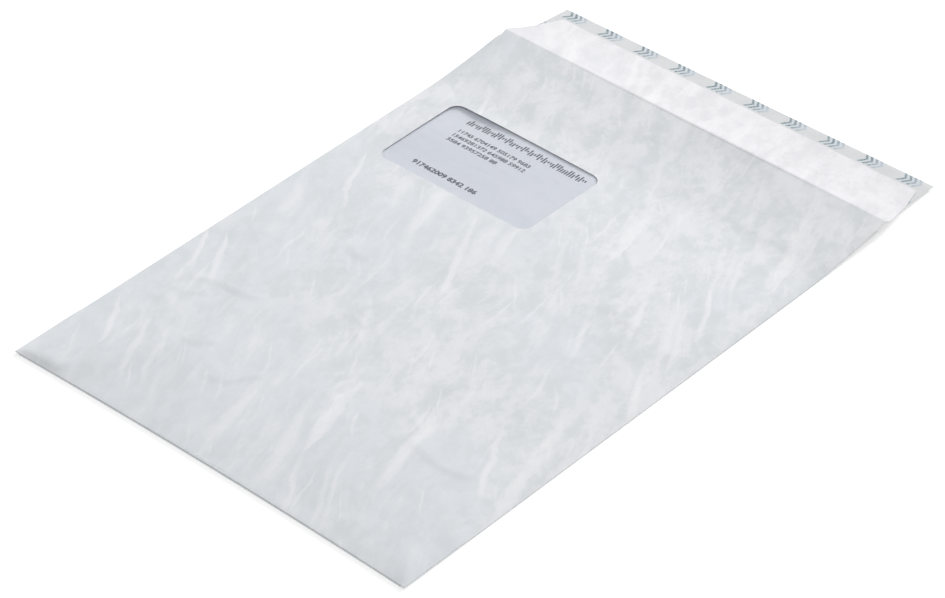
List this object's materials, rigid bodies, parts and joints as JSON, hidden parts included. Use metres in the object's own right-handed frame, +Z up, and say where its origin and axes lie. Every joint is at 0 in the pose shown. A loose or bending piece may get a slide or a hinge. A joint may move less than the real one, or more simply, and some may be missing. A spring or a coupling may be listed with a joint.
{
  "type": "window mailing envelope",
  "caption": "C4 pocket envelope with a window in its front, an open seal flap carrying a peel-off liner strip, and a letter sheet in the pocket.",
  "frame": {"origin": "on the table under the middle of the envelope's body, on the outer face of the back", "axes": "+X across the width, +Y along the length towards the seal flap, +Z up out of the window side"},
  "size_m": [0.229, 0.3641, 0.0057],
  "materials": {
    "panel_sheet": "white spunbonded sheet, mottled with fibre swirls, satin",
    "flap_sheet": "white spunbonded sheet, brighter and smoother on the flap",
    "clear_film": "clear glossy window film",
    "white_glue": "dried glue line, dull",
    "seal_adhesive": "tacky pale adhesive strip",
    "coated_liner": null,
    "letter_paper": null
  },
  "bodies": {
    "envelope_body": {"front_panel": "panel_sheet", "left_back_panel": "panel_sheet", "right_back_panel": "panel_sheet", "bottom_flap": "panel_sheet", "window_film": "clear_film", "window_glue_frame": "white_glue", "centre_seam_glue": "white_glue", "bottom_flap_glue": "white_glue"},
    "flap": {"seal_flap": "flap_sheet", "flap_adhesive": "seal_adhesive"},
    "liner": {"release_liner": "coated_liner"},
    "letter": {"letter_sheet": "letter_paper"}
  },
  "joints": [
    {"name": "flap_crease", "type": "hinge", "parent": "envelope_body", "child": "flap", "pos_m": [0, 0.162, 0.00443], "axis": [1, 0, 0], "range_deg": [-168, 20]},
    {"name": "liner_pull", "type": "slide", "parent": "flap", "child": "liner", "axis": [1, 0, 0], "range_m": [0, 0.23]},
    {"name": "letter_shift", "type": "slide", "parent": "envelope_body", "child": "letter", "axis": [1, 0, 0], "range_m": [-0.006, 0.006]}
  ]
}
